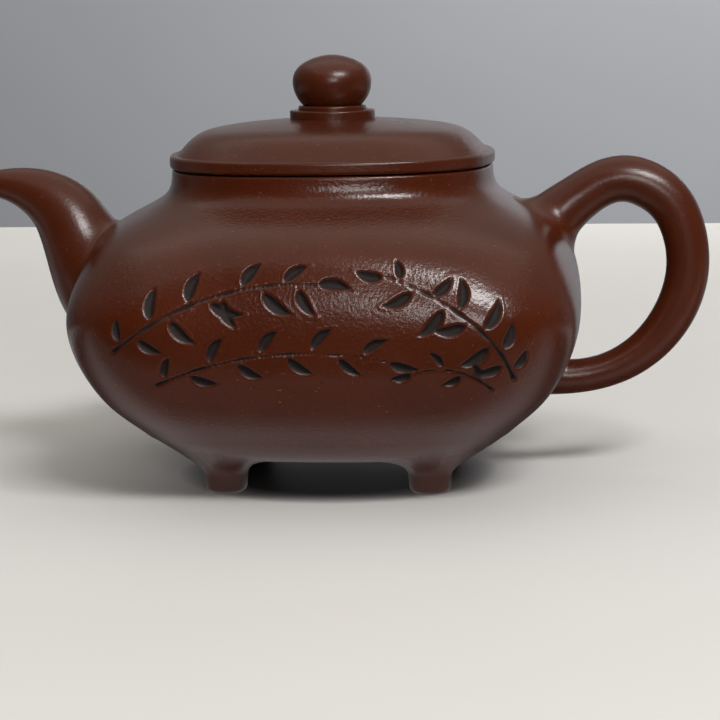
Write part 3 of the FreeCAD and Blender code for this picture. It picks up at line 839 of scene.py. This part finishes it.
# How much of the floor's paleness is left, from the middle of the pot out to SHADE_REACH.
SHADE_REACH = 0.05
FLOOR_SHADE = [(0.0, 0.02), (0.46, 0.04), (0.60, 0.6), (0.66, 1.0)]


def stage_material(name, colour, rough, shade_below=False):
    """A pale studio surface with a trace of unevenness, darker in the narrow gap under the pot if asked."""
    material, tree, shader, coords = new_material(name)
    paint = ramp(tree, noise(tree, coords, 6, 2), [(0.3, tuple(c * 0.97 for c in colour)), (0.7, colour)])
    if shade_below:
        reach_out = tree.nodes.new("ShaderNodeVectorMath")
        reach_out.operation = "LENGTH"
        tree.links.new(coords, reach_out.inputs[0])
        share = math_node(tree, "MULTIPLY", reach_out.outputs["Value"], 1 / SHADE_REACH)
        paint = mix(tree, 1.0, paint, ramp(tree, share, FLOOR_SHADE), "MULTIPLY")
    tree.links.new(paint, shader.inputs["Base Color"])
    shader.inputs["Roughness"].default_value = rough
    shader.inputs["Specular IOR Level"].default_value = STAGE_SPECULAR
    return material


# ---------------------------------------------------------------- stage, light and camera

CAMERA_PLACE = (0.0490, -0.4690, 0.0975)
CAMERA_LOOK = (-0.0938, 0.9956)
CAMERA_PITCH = 8.986
CAMERA_ROLL = 0.873
CAMERA_LENS = 116.09


def camera():
    """The camera that the scene is seen through, slightly rolled."""
    data = bpy.data.cameras.new("camera")
    data.lens = CAMERA_LENS
    data.sensor_width = 36.0
    data.clip_start = 0.01
    data.clip_end = 20.0
    made = bpy.data.objects.new("camera", data)
    bpy.context.scene.collection.objects.link(made)
    fall = math.radians(CAMERA_PITCH)
    look = Vector((CAMERA_LOOK[0] * math.cos(fall), CAMERA_LOOK[1] * math.cos(fall), -math.sin(fall)))
    made.location = CAMERA_PLACE
    made.rotation_mode = "QUATERNION"
    roll = Quaternion((0, 0, 1), -math.radians(CAMERA_ROLL))
    made.rotation_quaternion = look.to_track_quat("-Z", "Y") @ roll
    bpy.context.scene.camera = made


def sheet(name, corners, material):
    """A flat four-cornered piece of the stage."""
    mesh = bpy.data.meshes.new(name)
    mesh.from_pydata(corners, [], [(0, 1, 2, 3)])
    made = bpy.data.objects.new(name, mesh)
    bpy.context.scene.collection.objects.link(made)
    mesh.materials.append(material)
    return made


def area_light(name, place, target, size, power, colour):
    """A rectangular light that points at its target."""
    data = bpy.data.lights.new(name, "AREA")
    data.shape = "RECTANGLE"
    data.size, data.size_y = size
    data.energy = power
    data.color = colour
    made = bpy.data.objects.new(name, data)
    bpy.context.scene.collection.objects.link(made)
    made.location = place
    made.rotation_mode = "QUATERNION"
    made.rotation_quaternion = (Vector(target) - Vector(place)).to_track_quat("-Z", "Y")


# Name, place, what it points at, size, power and colour.
POT_MIDDLE = (0, 0, 0.045)
WHITE = (1, 1, 1)
WARM = (1.0, 0.95, 0.88)
LIGHTS = [
    ("window", (0.52, -0.84, 0.97), POT_MIDDLE, (0.62, 0.25), 11.5, WHITE),
    ("low_window", (0.22, -1.23, 0.38), POT_MIDDLE, (0.45, 0.15), 3, WHITE),
    ("ceiling", (0, 0, 1.8), POT_MIDDLE, (3.2, 3.2), 12, WARM),
    ("wall_wash", (0.55, 0.8, 0.8), (0.5, 1.6, 0.1), (1.2, 0.4), 12, WHITE),
]
# Light of the room by direction: dim towards the camera's side, paler behind the pot and overhead.
ROOM_DEPTH = [(0.0, 0.010), (0.3, 0.02), (0.5, 0.08), (1.0, 0.20)]
ROOM_HEIGHT = [(0.0, 0.0), (0.35, 0.02), (0.8, 0.16)]

FLOOR_COLOUR = (0.87, 0.855, 0.825)
FLOOR_ROUGH = 0.45
FLOOR_SIDE = 3
FLOOR_END = 0.51
BACKDROP_COLOUR = (0.51, 0.525, 0.56)
BACKDROP_ROUGH = 0.8
BACKDROP_SIDE = 4
BACKDROP_DEPTH = 1.6
BACKDROP_LOW, BACKDROP_TOP = -1, 0.6

# How bright the floor looks where the clay mirrors it, from the front of the patch to its back.
MIRROR_FRONT = -0.080
MIRROR_BACK = 0.120
MIRROR_SIDE = 0.5
MIRROR_DEPTH = -0.0005
MIRROR_GLOW = [
    (0.0, 0.0),
    (0.04, 0.22),
    (0.16, 0.20),
    (0.23, 0.50),
    (0.28, 0.42),
    (0.36, 0.06),
    (0.55, 0.06),
    (0.75, 0.4),
    (1.0, 0.45),
]


def mirrored_floor():
    """A patch only reflections see: the lit floor round the pot, with the dark room beyond it."""
    material, tree, shader, coords = new_material("floor_mirrored")
    parts = tree.nodes.new("ShaderNodeSeparateXYZ")
    tree.links.new(coords, parts.inputs[0])
    length = MIRROR_BACK - MIRROR_FRONT
    share = math_node(tree, "MULTIPLY_ADD", parts.outputs["Y"], 1 / length, -MIRROR_FRONT / length)
    shader.inputs["Base Color"].default_value = (0, 0, 0, 1)
    shader.inputs["Roughness"].default_value = 1.0
    shader.inputs["Specular IOR Level"].default_value = 0.0
    tree.links.new(ramp(tree, share, MIRROR_GLOW), shader.inputs["Emission Color"])
    shader.inputs["Emission Strength"].default_value = 1.0
    low = [(-MIRROR_SIDE, MIRROR_FRONT, MIRROR_DEPTH), (MIRROR_SIDE, MIRROR_FRONT, MIRROR_DEPTH)]
    high = [(MIRROR_SIDE, MIRROR_BACK, MIRROR_DEPTH), (-MIRROR_SIDE, MIRROR_BACK, MIRROR_DEPTH)]
    patch = sheet("floor_mirrored", [*low, *high], material)
    patch.visible_camera = False
    patch.visible_diffuse = False
    patch.visible_shadow = False


def room():
    """The light that comes from the room all round."""
    world = bpy.data.worlds.new("room")
    world.use_nodes = True
    tree = world.node_tree
    parts = tree.nodes.new("ShaderNodeSeparateXYZ")
    tree.links.new(tree.nodes.new("ShaderNodeTexCoord").outputs["Generated"], parts.inputs[0])
    depth = ramp(tree, math_node(tree, "MULTIPLY_ADD", parts.outputs["Y"], 0.5, 0.5), ROOM_DEPTH)
    height = ramp(tree, parts.outputs["Z"], ROOM_HEIGHT)
    glow = mix(tree, 1.0, mix(tree, 1.0, depth, height, "ADD"), WARM, "MULTIPLY")
    tree.links.new(glow, tree.nodes["Background"].inputs["Color"])
    tree.nodes["Background"].inputs["Strength"].default_value = 1.0
    bpy.context.scene.world = world


def studio():
    """A pale floor before a grey backdrop, with window, ceiling and room light."""
    floor = stage_material("floor_pale", FLOOR_COLOUR, FLOOR_ROUGH, shade_below=True)
    wall = stage_material("wall_grey", BACKDROP_COLOUR, BACKDROP_ROUGH)
    near = [(-FLOOR_SIDE, -FLOOR_SIDE, 0), (FLOOR_SIDE, -FLOOR_SIDE, 0)]
    far = [(FLOOR_SIDE, FLOOR_END, 0), (-FLOOR_SIDE, FLOOR_END, 0)]
    ground = sheet("floor", [*near, *far], floor)
    ground.visible_glossy = False
    mirrored_floor()
    foot_line = [(x, BACKDROP_DEPTH, BACKDROP_LOW) for x in (-BACKDROP_SIDE, BACKDROP_SIDE)]
    top_line = [(x, BACKDROP_DEPTH, BACKDROP_TOP) for x in (BACKDROP_SIDE, -BACKDROP_SIDE)]
    sheet("backdrop", [*foot_line, *top_line], wall)
    for light in LIGHTS:
        area_light(*light)
    room()
    bpy.context.scene.view_settings.view_transform = "Standard"


# ---------------------------------------------------------------- put together


def dress(piece, material, body, replaced):
    """Give a clay piece its material and its body, in place of the solids it stands for."""
    piece.data.materials.clear()
    piece.data.materials.append(material)
    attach(piece, body)
    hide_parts(*replaced)


FEET = [
    ("front_left", -1, -1),
    ("front_right", 1, -1),
    ("back_left", -1, 1),
    ("back_right", 1, 1),
]
# Solids that are shown as they are, with the clay on them.
PLAIN_PARTS = [
    "strainer_dome",
    "lid_plate",
    "lid_dome",
    "lid_flange",
    "knob_ring_lower",
    "knob_ring_upper",
    "knob_ball",
]
# Roughness of the skin and strength of its relief.
POT_SKIN = (0.21, 0.3)
CARVED_SKIN = (0.15, 0.5)


def main():
    """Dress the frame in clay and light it."""
    pot_clay = clay("pot_clay", *POT_SKIN)
    carved_clay = clay("carved_clay", *CARVED_SKIN, carved=True)
    wall, tree = pot_wall()
    dress(wall, carved_clay, "pot", ["base_plate", "body_wall", "shoulder_plate", "neck_collar"])
    dress(handle(tree), pot_clay, "pot", ["handle"])
    dress(spout(tree), pot_clay, "pot", ["spout"])
    for name, side_x, side_y in FEET:
        dress(foot(f"clay_foot_{name}", side_x, side_y, tree), pot_clay, "pot", [f"foot_{name}"])
    for name in PLAIN_PARTS:
        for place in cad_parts[name].material_slots:
            place.material = pot_clay
    studio()
    camera()


main()
